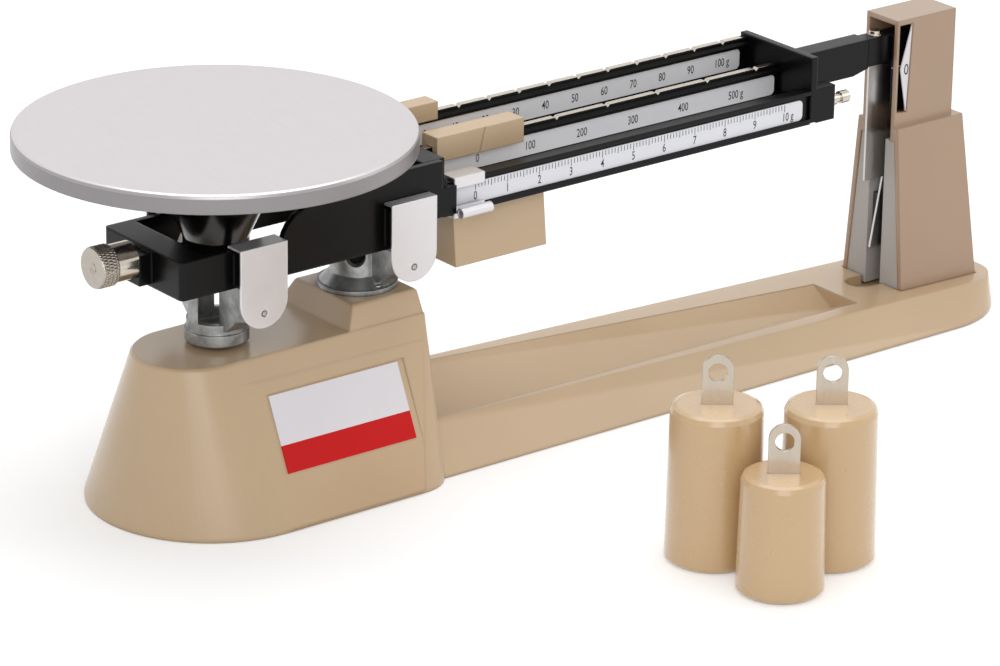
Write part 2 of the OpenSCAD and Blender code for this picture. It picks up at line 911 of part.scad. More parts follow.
module beam_middle() {
    color(black)
    difference() {
        union() {
            beam(0, mid_top, beam_h);
            upper_flange(0, mid_scale + scale_h + 0.3);
        }
        notches(0, mid_top, mid_notch_x, mid_pitch, 5);
    }
}

module beam_front() {
    color(black)
    union() {
        beam(-beam_y, front_top, front_h);
        upper_flange(-beam_y, front_top - 1.6);
    }
}

// undersides of the three scale plates
rear_scale = rear_top - 12.4;
mid_scale = mid_top - 12.4;
front_scale = front_top - front_h + 2.2 + 0.2;

module scale_bar(y, z, x0, x1) {
    box([x0, y - web_t / 2 - scale_t, z], [x1, y - web_t / 2, z + scale_h]);
}

module scale_rear() {
    color(silver)
        scale_bar(beam_y, rear_scale, head_x1 + 1, beam_x1 - 4.3);
}

module scale_middle() {
    color(silver)
        scale_bar(0, mid_scale, head_x1 + 1, beam_x1 - 2.1);
}

module scale_front() {
    color(silver)
        scale_bar(-beam_y, front_scale, head_x1 + 1, beam_x1 - 3.5);
}

// End plate and pointer

module end_plate() {
    color(black)
    difference() {
        union() {
            box([beam_x1, -end_y, end_bottom], [beam_x1 + end_t, end_y, end_top]);
            box([beam_x1 + end_t, -end_y, 96.5], [286.5, -end_y + 6, 110.8]);
        }
        rod_x(-end_y + 3, 103.6, 2.5, 280, 290);
    }
}

module pointer_arm() {
    color(black)
    difference() {
        union() {
            prism_y([[beam_x1 + end_t, arm_bottom], [arm_thin_x - 8, arm_bottom],
                [arm_thin_x, arm_bottom + 2], [arm_thin_x, arm_top],
                [beam_x1 + end_t, arm_top]], -arm_half, arm_half);
            box([arm_thin_x, -arm_half + 1, arm_bottom + 2],
                [arm_x1, arm_half - 1, arm_top - 0.4]);
        }
        translate([327, 0, arm_top - 6])
            cylinder(d = 2.5, h = 10);
    }
}

module arm_screw() {
    color(chrome)
    union() {
        translate([327, 0, arm_top - 6])
            cylinder(d = 2.5, h = 6);
        translate([327, 0, arm_top - 0.4])
            cylinder(d = 6, h = 0.6);
        translate([327, 0, arm_top + 0.2])
            cylinder(d = 4.8, h = 1.4);
    }
}

module tare_screw() {
    color(chrome)
    union() {
        rod_x(-end_y + 3, 103.6, 2.5, 280, 295);
        rod_x(-end_y + 3, 103.6, 5, 286.5, 289);
        rod_x(-end_y + 3, 103.6, 3.4, 289, 291.5);
        rod_x(-end_y + 3, 103.6, 5, 291.5, 295.5);
    }
}

// black flag that carries the white index line past the window
module index_flag() {
    color(black)
    union() {
        box([arm_x1 - 19.4, -arm_half - 1, arm_bottom + 2],
            [arm_x1, -arm_half + 1, arm_top - 0.4]);
        box([arm_x1 - 19.4, -arm_half - 1, 86], [arm_x1 - 10, -arm_half, 109]);
    }
}

// bent aluminium sheet that swings between the magnets
module damping_vane() {
    color([0.85, 0.85, 0.86])
    union() {
        box([324.2, -0.5, 56], [345, 0.5, arm_bottom + 2]);
        prism_y([[334.4, 56.1], [328.8, 26], [350, 26], [350, 56.1]], -0.5, 0.5);
    }
}

// Tower

module tower_shell(grow) {
    box([tower_x0 + grow, -tower_y1 + grow, shoulder_z - 3],
        [tower_x1 - grow, tower_y1 - grow, tower_top - grow]);
    hull() {
        box([tower_x0 + grow, -tower_y2 + grow, shoulder_z - 1 - grow],
            [tower_x1 + 4 - grow, tower_y2 - grow, shoulder_z - grow]);
        box([tower_x0 + grow, -tower_y3 + grow, tower_z0],
            [tower_x2 - grow, tower_y3 - grow, tower_z0 + 1]);
    }
}

module tower_housing() {
    color(tower_paint)
    difference() {
        tower_shell(0);
        translate([0, 0, -e])
            tower_shell(tower_wall);
        // open left side
        box([tower_x0 - 1, -tower_y1 + tower_wall, shoulder_z - 6],
            [tower_x0 + 4, tower_y1 - tower_wall, tower_top - 2]);
        hull() {
            box([tower_x0 - 1, -tower_y2 + tower_wall, shoulder_z - 7],
                [tower_x0 + 4, tower_y2 - tower_wall, shoulder_z - 6]);
            box([tower_x0 - 1, -tower_y3 + tower_wall, tower_z0 - 1],
                [tower_x0 + 4, tower_y3 - tower_wall, tower_z0]);
        }
        // window in the front for the dial
        prism_y([[tower_x0 + 1.3, 123.4], [339.6, 123.4], [337.8, 85.6], [tower_x0 + 1.3, 86.3]],
            -tower_y1 - 1, -tower_y1 + tower_wall + 1);
    }
}

// folded grey plate beside the slot, at the front
module tower_plate() {
    difference() {
        hull() {
            box([tower_x0 + 0.4, -tower_y2 + tower_wall + 0.3, 73],
                [tower_x0 + 10, -4.4, 74]);
            box([tower_x0 + 0.4, -tower_y3 + tower_wall + 0.3, tower_z0 + 1.2],
                [tower_x0 + 10, -4.4, tower_z0 + 2.2]);
        }
        hull() {
            box([tower_x0 + 1.6, -tower_y2 - 4, 72],
                [tower_x0 + 11, -5.6, 75]);
            box([tower_x0 + 1.6, -tower_y3 - 4, tower_z0 + 0.2],
                [tower_x0 + 11, -5.6, tower_z0 + 3.2]);
        }
    }
}

module tower_plate_front() {
    color([0.66, 0.65, 0.64])
        tower_plate();
}

module tower_plate_rear() {
    color([0.66, 0.65, 0.64])
    mirror([0, 1, 0])
        tower_plate();
}

module magnet_front() {
    color([0.35, 0.35, 0.37])
        box([334, -4.4, 26], [350, -1.6, 48]);
}

module magnet_rear() {
    color([0.35, 0.35, 0.37])
        box([334, 1.6, 26], [350, 4.4, 48]);
}

// white triangle with the zero, fixed in the window
module dial_plate() {
    color([0.93, 0.93, 0.93])
    prism_y([[339.3, 123.2], [333.8, 104.5], [337.5, 85.9]],
        -tower_y1 + 0.3, -tower_y1 + 0.8);
}

// Poises

module poise_middle() {
    color(tan_paint)
    difference() {
        union() {
            // grip over the middle beam
            box([mid_poise_x + 1.2, -grip_y, grip_z],
                [mid_poise_x + mid_poise_l + 1.2, grip_y, 121.3]);
            // plate behind the beam
            box([mid_poise_x + 3, flange_t / 2 + poise_clear + 0.1, 94],
                [mid_poise_x + mid_poise_l - 1, grip_y, grip_z + 1.5]);
            // hanging body below the beams
            prism_x([[-mid_poise_y, mid_poise_z], [mid_poise_y, mid_poise_z],
                [mid_poise_y - 2.2, 94.8], [-mid_poise_y + 2.2, 94.8]],
                mid_poise_x, mid_poise_x + mid_poise_l + 2);
        }
        // slot for the beam's upper edge
        box([mid_poise_x - 1, -web_t / 2 - poise_clear, grip_z - 1.2],
            [mid_poise_x + mid_poise_l + 3, web_t / 2 + poise_clear, mid_top + poise_clear]);
        box([mid_poise_x - 1, -flange_t / 2 - poise_clear, grip_z - 1.2],
            [mid_poise_x + mid_poise_l + 3, flange_t / 2 + poise_clear,
                mid_scale + scale_h + 1.9 + poise_clear]);
        // slanting index groove down the front
        prism_y([[122.2, 122], [122.8, 122], [119.7, grip_z - 1], [119.1, grip_z - 1]],
            -grip_y - 1, -grip_y + 0.4);
    }
}
// half width of the middle poise's grip
grip_y = 4.7;
// underside of the middle poise's grip
grip_z = 111.5;

module poise_rear() {
    color(tan_paint)
    difference() {
        union() {
            box([rear_poise_x - rear_poise_l, beam_y - 4, rear_top - 2.4],
                [rear_poise_x, beam_y + 4, rear_top + 4.8]);
            // plate behind the beam and the mass that hangs from it
            prism_x([[beam_y + 7, 81.5], [beam_y + 7, 104], [beam_y + 5, 105.5],
                [beam_y + 5, rear_top - 1], [rear_back, rear_top - 1],
                [rear_back, rear_top - beam_h - 0.4], [beam_y - 6.6, rear_top - beam_h - 0.4],
                [beam_y - 6.6, 95.4], [mid_poise_y + 0.6, 95.4], [mid_poise_y + 0.6, 81.5]],
                rear_poise_x - rear_poise_l, rear_poise_x);
        }
        box([0, beam_y - web_t / 2 - poise_clear, rear_top - 6],
            [200, beam_y + web_t / 2 + poise_clear, rear_top + poise_clear]);
        box([0, beam_y - flange_t / 2 - poise_clear, rear_top - 6],
            [200, beam_y + flange_t / 2 + poise_clear,
                rear_scale + scale_h + 1.9 + poise_clear]);
    }
}
// front face of the rear poise's back plate
rear_back = beam_y + flange_t / 2 + poise_clear + 0.1;

module poise_front() {
    color(chrome)
    difference() {
        union() {
            box([front_poise_x, front_y - 1.2, front_top - front_h - 1.2],
                [front_poise_x + front_poise_l, -beam_y + flange_t / 2 + 1.2, front_top + 1.2]);
            // rolled finger edge
            box([front_poise_x, front_y - 5, 98], [front_poise_x + front_poise_l, front_y - 1, 99]);
            rod_x(front_y - 4.9, 98.5, 4.2, front_poise_x, front_poise_x + front_poise_l);
        }
        box([front_poise_x - 1, front_y - poise_clear, front_top - front_h - poise_clear],
            [front_poise_x + 20, -beam_y + flange_t / 2 + poise_clear, front_top + poise_clear]);
        box([front_poise_x - 1, front_y - 3, front_top - front_h + 3.4],
            [front_poise_x + 20, -beam_y, front_top - 3.2]);
        rod_x(front_y - 4.9, 98.5, 2.8, front_poise_x - 1, front_poise_x + 20);
    }
}
// front face of the front beam's flanges
front_y = -beam_y - flange_t / 2;

// Hanging weights

module weight(at, d, h) {
    translate([at[0], at[1], 0])
        difference() {
            rotate_extrude($fn = 96)
                polygon([[0, 0], [d / 2 - 1.5, 0], [d / 2, 1.5], [d / 2 - 0.9, h - 2.5],
                    [d / 2 - 1.7, h - 0.7], [d / 2 - 3.4, h], [0, h]]);
            rotate([0, 0, strap_turn])
                translate([-strap_w / 2, -strap_t / 2, h - 6])
                    cube([strap_w, strap_t, 8]);
        }
}

module strap(at, h) {
    translate([at[0], at[1], h])
        rotate([0, 0, strap_turn])
            difference() {
                union() {
                    translate([-strap_w / 2, -strap_t / 2, -6])
                        cube([strap_w, strap_t, 6 + strap_up - strap_w / 2]);
                    translate([0, strap_t / 2, strap_up - strap_w / 2])
                        rotate([90, 0, 0])
                            cylinder(d = strap_w, h = strap_t);
                }
                translate([0, strap_t, strap_up - strap_w / 2 - 1])
                    rotate([90, 0, 0])
                        cylinder(d = strap_hole_d, h = strap_t * 2);
            }
}

module weight_left() {
    color(weight_paint)
        weight(left_at, big_d, big_h);
}

module strap_left() {
    color(chrome)
        strap(left_at, big_h);
}

module weight_right() {
    color(weight_paint)
        weight(right_at, big_d, big_h);
}

module strap_right() {
    color(chrome)
        strap(right_at, big_h);
}

module weight_small() {
    color(weight_paint)
        weight(small_at, small_d, small_h);
}

module strap_small() {
    color(chrome)
        strap(small_at, small_h);
}

base_casting();
base_plate();
base_pads();
plate_screws();
label_plate();
label_band();
fulcrum_support();
support_screws();
fulcrum_bearings();
fulcrum_cover_front();
fulcrum_cover_rear();
cover_pins();
link_bracket();
tower_housing();
tower_plate_front();
tower_plate_rear();
magnet_front();
magnet_rear();
dial_plate();
beam_frame();
beam_rear();
beam_middle();
beam_front();
scale_rear();
scale_middle();
scale_front();
end_plate();
pointer_arm();
index_flag();
damping_vane();
arm_screw();
tare_screw();
fulcrum_knife();
pan_knife();
zero_stud();
knob_collar();
knob_head();
pan_yoke();
pan_cone();
pan_bearings();
pan_cover_front();
pan_cover_rear();
yoke_pins();
check_link();
pan_plate();
poise_rear();
poise_middle();
poise_front();
weight_left();
strap_left();
weight_right();
strap_right();
weight_small();
strap_small();
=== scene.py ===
import bmesh
import bpy
import math
from mathutils import Matrix, Vector


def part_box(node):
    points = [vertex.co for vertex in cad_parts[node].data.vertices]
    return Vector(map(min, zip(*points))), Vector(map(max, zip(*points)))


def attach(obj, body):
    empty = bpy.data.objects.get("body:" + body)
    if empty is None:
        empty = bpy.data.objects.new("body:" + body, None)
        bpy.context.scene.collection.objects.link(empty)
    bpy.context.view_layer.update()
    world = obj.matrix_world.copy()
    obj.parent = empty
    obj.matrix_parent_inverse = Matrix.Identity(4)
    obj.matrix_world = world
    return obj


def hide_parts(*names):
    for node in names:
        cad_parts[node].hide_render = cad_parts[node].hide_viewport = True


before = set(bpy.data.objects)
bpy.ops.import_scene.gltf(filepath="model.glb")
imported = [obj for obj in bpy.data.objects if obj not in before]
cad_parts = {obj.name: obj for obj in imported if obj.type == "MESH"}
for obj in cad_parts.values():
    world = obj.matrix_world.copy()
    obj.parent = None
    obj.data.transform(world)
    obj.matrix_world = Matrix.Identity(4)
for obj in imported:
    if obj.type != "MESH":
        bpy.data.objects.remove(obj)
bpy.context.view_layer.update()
MM = 0.001


def lin(r, g, b):
    """Linear colour from 0-255 screen values."""
    out = []
    for v in (r, g, b):
        v = v / 255
        out.append(v / 12.92 if v <= 0.04045 else ((v + 0.055) / 1.055) ** 2.4)
    return (out[0], out[1], out[2], 1)


# Camera at the photograph's angle
cam_data = bpy.data.cameras.new("camera")
cam_data.sensor_fit = "HORIZONTAL"
cam_data.sensor_width = 36
cam_data.lens = 178.97092
cam_data.clip_start = 0.05
cam_data.clip_end = 50
camera = bpy.data.objects.new("camera", cam_data)
bpy.context.scene.collection.objects.link(camera)
right = Vector((0.7856890638, -0.6184927173, 0.0126274938))
up = Vector((0.2147119370, 0.2917844711, 0.9320732839))
back = Vector((-0.5801650447, -0.7296085122, 0.3620496373))
camera.matrix_world = Matrix((
    (right.x, up.x, back.x, -0.99070876),
    (right.y, up.y, back.y, -1.41515181),
    (right.z, up.z, back.z, 0.73485077),
    (0, 0, 0, 1)))
bpy.context.scene.camera = camera


# Materials
def new_mat(name):
    """Empty material with one Principled shader."""
    m = bpy.data.materials.new(name)
    m.use_nodes = True
    nt = m.node_tree
    nt.nodes.clear()
    out = nt.nodes.new("ShaderNodeOutputMaterial")
    bsdf = nt.nodes.new("ShaderNodeBsdfPrincipled")
    nt.links.new(bsdf.outputs["BSDF"], out.inputs["Surface"])
    return m, nt, bsdf


def coords(nt, scale=(1, 1, 1), rot=(0, 0, 0), loc=(0, 0, 0)):
    tc = nt.nodes.new("ShaderNodeTexCoord")
    mp = nt.nodes.new("ShaderNodeMapping")
    mp.inputs["Scale"].default_value = scale
    mp.inputs["Rotation"].default_value = rot
    mp.inputs["Location"].default_value = loc
    nt.links.new(tc.outputs["Object"], mp.inputs["Vector"])
    return mp.outputs["Vector"]


def noise(nt, vec, scale, detail=2, rough=0.5):
    n = nt.nodes.new("ShaderNodeTexNoise")
    n.inputs["Scale"].default_value = scale
    n.inputs["Detail"].default_value = detail
    n.inputs["Roughness"].default_value = rough
    nt.links.new(vec, n.inputs["Vector"])
    return n.outputs["Fac"]


def ramp(nt, fac, stops):
    r = nt.nodes.new("ShaderNodeValToRGB")
    el = r.color_ramp.elements
    el[0].position = stops[0][0]
    el[0].color = stops[0][1]
    el[1].position = stops[1][0]
    el[1].color = stops[1][1]
    for pos, col in stops[2:]:
        e = el.new(pos)
        e.color = col
    nt.links.new(fac, r.inputs["Fac"])
    return r.outputs["Color"]


def span(nt, fac, lo, hi):
    r = nt.nodes.new("ShaderNodeMapRange")
    r.inputs["To Min"].default_value = lo
    r.inputs["To Max"].default_value = hi
    nt.links.new(fac, r.inputs["Value"])
    return r.outputs["Result"]


def soft_edges(nt, bsdf, height, strength, distance, radius):
    bump = nt.nodes.new("ShaderNodeBump")
    bump.inputs["Strength"].default_value = strength
    bump.inputs["Distance"].default_value = distance
    nt.links.new(height, bump.inputs["Height"])
    if radius:
        bev = nt.nodes.new("ShaderNodeBevel")
        bev.samples = 6
        bev.inputs["Radius"].default_value = radius
        nt.links.new(bev.outputs["Normal"], bump.inputs["Normal"])
    nt.links.new(bump.outputs["Normal"], bsdf.inputs["Normal"])


def paint(name, rgb, rough=0.38, peel=700, peel_strength=0.10, mottle=0.04, edge=0.0012,
        coat=0.25, spec=0.45):
    """Enamel with a fine orange peel, faint colour drift and rounded edges."""
    m, nt, b = new_mat(name)
    c = lin(*rgb)
    vec = coords(nt)
    drift = noise(nt, vec, 22, 3)
    dark = tuple(v * (1 - mottle) for v in c[:3]) + (1,)
    light = tuple(min(1, v * (1 + mottle)) for v in c[:3]) + (1,)
    nt.links.new(ramp(nt, drift, [(0.3, dark), (0.7, light)]), b.inputs["Base Color"])
    nt.links.new(span(nt, noise(nt, vec, 90, 3), rough - 0.05, rough + 0.06), b.inputs["Roughness"])
    b.inputs["Coat Weight"].default_value = coat
    b.inputs["Coat Roughness"].default_value = 0.18
    b.inputs["Specular IOR Level"].default_value = spec
    soft_edges(nt, b, noise(nt, vec, peel, 2), peel_strength, 0.0002, edge)
    return m


def metal(name, rgb, rough=0.3, grain=(1, 1, 1), grain_scale=900, strength=0.08, spread=0.06,
        edge=0.0004, rot=(0, 0, 0), tint=0.05, metallic=1.0):
    """Bare or plated metal with a directional grain."""
    m, nt, b = new_mat(name)
    c = lin(*rgb)
    vec = coords(nt, grain, rot)
    g = noise(nt, vec, grain_scale, 4, 0.6)
    low = tuple(v * (1 - tint) for v in c[:3]) + (1,)
    high = tuple(min(1, v * (1 + tint)) for v in c[:3]) + (1,)
    nt.links.new(ramp(nt, g, [(0.3, low), (0.7, high)]), b.inputs["Base Color"])
    b.inputs["Metallic"].default_value = metallic
    nt.links.new(span(nt, g, rough - spread, rough + spread), b.inputs["Roughness"])
    soft_edges(nt, b, g, strength, 0.0001, edge)
    return m


def darken_wall(m, dark):
    """Painted shade: darkens upright walls, told apart from the top by the surface's own direction.
    """
    nt = m.node_tree
    b = nt.nodes["Principled BSDF"]
    tc = nt.nodes.new("ShaderNodeTexCoord")
    sep = nt.nodes.new("ShaderNodeSeparateXYZ")
    nt.links.new(tc.outputs["Normal"], sep.inputs["Vector"])
    facing = nt.nodes.new("ShaderNodeMapRange")
    facing.inputs["From Min"].default_value = 0.25
    facing.inputs["From Max"].default_value = 0.75
    facing.inputs["To Min"].default_value = dark
    facing.inputs["To Max"].default_value = 1.0
    nt.links.new(sep.outputs["Z"], facing.inputs["Value"])
    shade = nt.nodes.new("ShaderNodeVectorMath")
    shade.operation = "SCALE"
    nt.links.new(b.inputs["Base Color"].links[0].from_socket, shade.inputs[0])
    nt.links.new(facing.outputs["Result"], shade.inputs["Scale"])
    nt.links.new(shade.outputs["Vector"], b.inputs["Base Color"])


tan = paint("tan_enamel", (197, 169, 134), rough=0.34, mottle=0.025, edge=0.0018, coat=0.6)
tower_m = paint("tower_enamel", (173, 144, 118), rough=0.36, mottle=0.02, edge=0.0014, coat=0.6)
poise_m = paint("poise_enamel", (200, 174, 141), rough=0.42, mottle=0.025, edge=0.0007, coat=0.35)
weight_m = paint("weight_enamel", (206, 173, 129), rough=0.28, mottle=0.015, edge=0.0008,
                 coat=0.9, peel=420, peel_strength=0.02)
black_m = paint("black_enamel", (9, 8, 8), rough=0.3, mottle=0.12, edge=0.0013, coat=0.06,
                spec=0.17)
chrome_m = metal("nickel_sheet", (224, 222, 224), rough=0.3, grain_scale=120, strength=0.006,
                 spread=0.03, edge=0.0007, tint=0.01, metallic=0.7)
nickel_m = metal("nickel_plate", (204, 196, 184), rough=0.16, grain_scale=500, strength=0.05,
                 edge=0.0003)
knurl_m = metal("nickel_knurl", (178, 170, 160), rough=0.22, grain_scale=500, strength=0.05,
                edge=0.0)
steel_m = metal("steel", (190, 189, 186), rough=0.32, grain_scale=800, edge=0.0003)
brushed_m = metal("pan_steel", (213, 208, 209), rough=0.34, grain=(1, 0.06, 1), grain_scale=1600,
                  strength=0.025, spread=0.04, edge=0.0008, rot=(0, 0, 0.62), tint=0.03)
# Painted shade on the pan: its upright rim wall is darkened to 0.42 of the top's colour.
darken_wall(brushed_m, 0.42)
vane_m = metal("vane_aluminium", (205, 203, 201), rough=0.3, grain=(1, 1, 0.05), grain_scale=1400,
               strength=0.06, edge=0.0002)


def cast(name, rgb):
    """Die-cast zinc: dull metal with blotches and flow marks."""
    m, nt, b = new_mat(name)
    c = lin(*rgb)
    vec = coords(nt)
    blot = noise(nt, vec, 160, 6, 0.65)
    low = tuple(v * 0.62 for v in c[:3]) + (1,)
    high = tuple(min(1, v * 1.25) for v in c[:3]) + (1,)
    nt.links.new(ramp(nt, blot, [(0.32, low), (0.68, high)]), b.inputs["Base Color"])
    b.inputs["Metallic"].default_value = 0.9
    nt.links.new(span(nt, blot, 0.52, 0.3), b.inputs["Roughness"])
    soft_edges(nt, b, noise(nt, vec, 420, 4), 0.28, 0.0004, 0.0009)
    return m


zinc_m = cast("cast_zinc", (160, 161, 160))
grey_m = paint("grey_plate", (186, 182, 179), rough=0.5, mottle=0.03, edge=0.0004, coat=0.0)
magnet_m = paint("magnet", (72, 72, 75), rough=0.6, mottle=0.1, edge=0.0004, coat=0.0)
bearing_m = paint("bearing_stone", (176, 88, 66), rough=0.2, mottle=0.12, edge=0.0003)
rubber_m = paint("rubber", (30, 30, 31), rough=0.8, mottle=0.1, edge=0.0004, coat=0.0, peel=1500,
                 peel_strength=0.3)
plate_m = paint("under_plate", (88, 88, 90), rough=0.5, mottle=0.06, edge=0.0003, coat=0.0)
white_m = paint("label_white", (230, 226, 230), rough=0.4, mottle=0.01, peel=300,
                peel_strength=0.02, edge=0.0, coat=0.1)
red_m = paint("label_red", (204, 15, 17), rough=0.4, mottle=0.03, peel=300, peel_strength=0.02,
              edge=0.0, coat=0.05, spec=0.2)
ink_m = paint("scale_ink", (28, 28, 30), rough=0.5, mottle=0.1, edge=0.0, coat=0.0)
cone_m = paint("cone_enamel", (9, 8, 8), rough=0.16, mottle=0.12, edge=0.0008, coat=0.5, spec=0.4)
line_m = paint("index_white", (245, 245, 245), rough=0.5, mottle=0.01, edge=0.0, coat=0.0)
# Painted light: the rear and middle scale plates get a lighter, less metallic copy of the front
# plate's aluminium, to lift the shade between the beams.
scale_painted_light_m = metal("scale_aluminium", (247, 248, 252), rough=0.45, grain=(0.05, 1, 1),
                grain_scale=2200, strength=0.03, edge=0.0, tint=0.015, metallic=0.1)
front_scale_m = metal("front_scale_aluminium", (229, 230, 235), rough=0.45, grain=(0.05, 1, 1),
                      grain_scale=2200, strength=0.03, edge=0.0, tint=0.02, metallic=0.25)
strap_m = metal("strap_steel", (190, 179, 164), rough=0.2, grain=(1, 1, 0.1), grain_scale=700,
                strength=0.05, edge=0.0003)

NODE_MATS = {
    "base_casting": tan, "base_plate": plate_m, "base_pads": rubber_m, "plate_screws": steel_m,
    "label_plate": white_m, "label_band": red_m, "fulcrum_support": zinc_m, "support_screws": steel_m,
    "fulcrum_bearings": bearing_m, "fulcrum_cover_front": chrome_m, "fulcrum_cover_rear": chrome_m,
    "cover_pins": steel_m, "link_bracket": zinc_m, "tower_housing": tower_m,
    "tower_plate_front": grey_m, "tower_plate_rear": grey_m, "magnet_front": magnet_m,
    "magnet_rear": magnet_m, "dial_plate": white_m, "beam_frame": black_m, "beam_rear": black_m,
    "beam_middle": black_m, "beam_front": black_m, "scale_rear": scale_painted_light_m, "scale_middle": scale_painted_light_m,
    "scale_front": front_scale_m, "end_plate": black_m, "pointer_arm": black_m, "index_flag": black_m,
    "damping_vane": vane_m, "arm_screw": nickel_m, "tare_screw": nickel_m, "fulcrum_knife": steel_m,
    "pan_knife": steel_m, "zero_stud": steel_m, "knob_collar": nickel_m, "knob_head": nickel_m,
    "pan_yoke": zinc_m, "pan_cone": cone_m, "pan_bearings": bearing_m, "pan_cover_front": chrome_m,
    "pan_cover_rear": chrome_m, "yoke_pins": steel_m, "check_link": steel_m, "pan_plate": brushed_m,
    "poise_rear": poise_m, "poise_middle": poise_m, "poise_front": chrome_m, "weight_left": weight_m,
    "strap_left": strap_m, "weight_right": weight_m, "strap_right": strap_m,
    "weight_small": weight_m, "strap_small": strap_m}
for name, m in NODE_MATS.items():
    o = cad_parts[name]
    for slot in o.material_slots:
        slot.material = m
    if not o.material_slots:
        o.data.materials.append(m)


# Pieces
def add_piece(name, bm, m, body):
    """Turns a bmesh into a visible piece that rides on a body."""
    me = bpy.data.meshes.new(name)
    bmesh.ops.recalc_face_normals(bm, faces=bm.faces)
    bm.to_mesh(me)
    bm.free()
    o = bpy.data.objects.new(name, me)
    bpy.context.scene.collection.objects.link(o)
    me.materials.append(m)
    for p in me.polygons:
        p.use_smooth = False
    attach(o, body)
    return o


def flat_shape(bm, pts, y):
    """Flat face in a plane of constant Y from (x, z) points in millimetres."""
    bm.faces.new([bm.verts.new((x * MM, y * MM, z * MM)) for x, z in pts])


def slab(bm, pts, y0, y1):
    """Bar along Y from (x, z) points in millimetres."""
    n = len(pts)
    a = [bm.verts.new((x * MM, y0 * MM, z * MM)) for x, z in pts]
    b = [bm.verts.new((x * MM, y1 * MM, z * MM)) for x, z in pts]
    bm.faces.new(a)
    bm.faces.new(b[::-1])
    for i in range(n):
        j = (i + 1) % n
        bm.faces.new((a[i], b[i], b[j], a[j]))


def glyphs(body, size):
    """Mesh of a line of figures, laid flat and centred, at Blender's nominal text size."""
    cu = bpy.data.curves.new("t", "FONT")
    cu.body = body
    cu.size = size
    cu.align_x = "CENTER"
    cu.align_y = "BOTTOM_BASELINE"
    cu.resolution_u = 3
    cu.offset = 0.004 * size
    to = bpy.data.objects.new("t", cu)
    bpy.context.scene.collection.objects.link(to)
    bpy.context.view_layer.update()
    me = bpy.data.meshes.new_from_object(to.evaluated_get(bpy.context.evaluated_depsgraph_get()))
    bpy.data.objects.remove(to)
    bpy.data.curves.remove(cu)
    return me


probe = glyphs("0", 1.0)
FIGURE = max(v.co.y for v in probe.vertices)
bpy.data.meshes.remove(probe)


def text_into(bm, body, x, z, y, tall, width=1.0):
    """Adds flat figures of the given height, centred on (x, z) in millimetres, facing the front."""
    me = glyphs(body, tall * MM / FIGURE)
    place = Matrix.Translation((x * MM, y * MM, (z - tall / 2) * MM)) @ Matrix.Rotation(math.pi / 2,
                               4, "X")
    me.transform(place @ Matrix.Diagonal((width, 1, 1, 1)))
    bm.from_mesh(me)
    bpy.data.meshes.remove(me)


def rounded(x0, x1, z0, z1, r, n=6):
    """Outline of a rectangle with rounded corners, in millimetres."""
    pts = []
    for cx, cz, a0 in ((x1 - r, z1 - r, 0), (x0 + r, z1 - r, 90), (x0 + r, z0 + r, 180),
                       (x1 - r, z0 + r, 270)):
        for i in range(n + 1):
            a = math.radians(a0 + 90 * i / n)
            pts.append((cx + r * math.cos(a), cz + r * math.sin(a)))
    return pts


def tick(bm, x, z0, z1, y, w):
    """One upright graduation line."""
    flat_shape(bm, [(x - w / 2, z0), (x + w / 2, z0), (x + w / 2, z1), (x - w / 2, z1)], y)


# Scale plates with rounded corners, in place of the square CAD ones
for node, body in (("scale_rear", "beam"), ("scale_middle", "beam"), ("scale_front", "beam")):
    lo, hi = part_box(node)
    bm = bmesh.new()
    slab(bm, rounded(lo[0] / MM, hi[0] / MM, lo[2] / MM, hi[2] / MM, 2.0), lo[1] / MM, hi[1] / MM)
    o = add_piece(node + "_plate", bm, NODE_MATS[node], "beam")
    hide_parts(node)

# Numbers and graduations
FIGURE_TALL = 3.4
FIGURE_WIDTH = 0.72
INK_LIFT = 0.04


def scale_marks(name, node, texts, first, pitch, last_x, z, tick_count=0):
    """Figures at an even pitch, the end figure, and the front scale's graduations."""
    lo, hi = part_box(node)
    y = lo[1] / MM - INK_LIFT
    top = hi[2] / MM - 0.4
    bm = bmesh.new()
    for i in range(tick_count):
        if i % 10 == 0:
            h = 2.9
        elif i % 5 == 0:
            h = 2.5
        else:
            h = 2.0
        tick(bm, first + i * pitch / 10, top - h, top, y, 0.28)
    for i, body in enumerate(texts[:-1]):
        text_into(bm, body, first + i * pitch, z, y, FIGURE_TALL, FIGURE_WIDTH)
    text_into(bm, texts[-1], last_x, z, y, FIGURE_TALL, FIGURE_WIDTH)
    add_piece(name, bm, ink_m, "beam")


ones = [str(i) for i in range(10)] + ["10 g"]
hundreds = [str(i * 100) for i in range(5)] + ["500 g"]
tens = [str(i * 10) for i in range(10)] + ["100 g"]
scale_marks("front_scale_marks", "scale_front", ones, 105.2, 15.55, 262.5, 101.9, 101)
scale_marks("middle_scale_marks", "scale_middle", hundreds, 120.95, 25.75, 251.3, 108.3)
scale_marks("rear_scale_marks", "scale_rear", tens, 109.9, 14.86, 260.0, 114.9)


# Bright notched edges on the rear and middle beams
STRIP_X0 = 89.6
STRIP_X1 = 271
STRIP_LIFT = 0.14
STRIP_THICK = 0.2
STRIP_HALF = 1.32


def notch_strip(name, y, top, x0, pitch, count, deep):
    """Thin bright strip that follows a beam's notched upper edge."""
    prof = [(STRIP_X0, top + STRIP_LIFT)]
    for i in range(count + 1):
        x = x0 + i * pitch
        prof += [(x - deep, top + STRIP_LIFT), (x, top - deep + STRIP_LIFT),
                 (x + deep, top + STRIP_LIFT)]
    prof += [(STRIP_X1, top + STRIP_LIFT)]
    under = [(x, z - STRIP_THICK) for x, z in prof]
    bm = bmesh.new()
    for k in range(len(prof) - 1):
        quad = [prof[k], prof[k + 1], under[k + 1], under[k]]
        slab(bm, quad, y - STRIP_HALF, y + STRIP_HALF)
    return add_piece(name, bm, nickel_m, "beam")


notch_strip("rear_notch_strip", 19, 123, 112.1, 14.86, 10, 1.1)
notch_strip("middle_notch_strip", 0, 116.7, 134.7, 25.5, 5, 1.1)

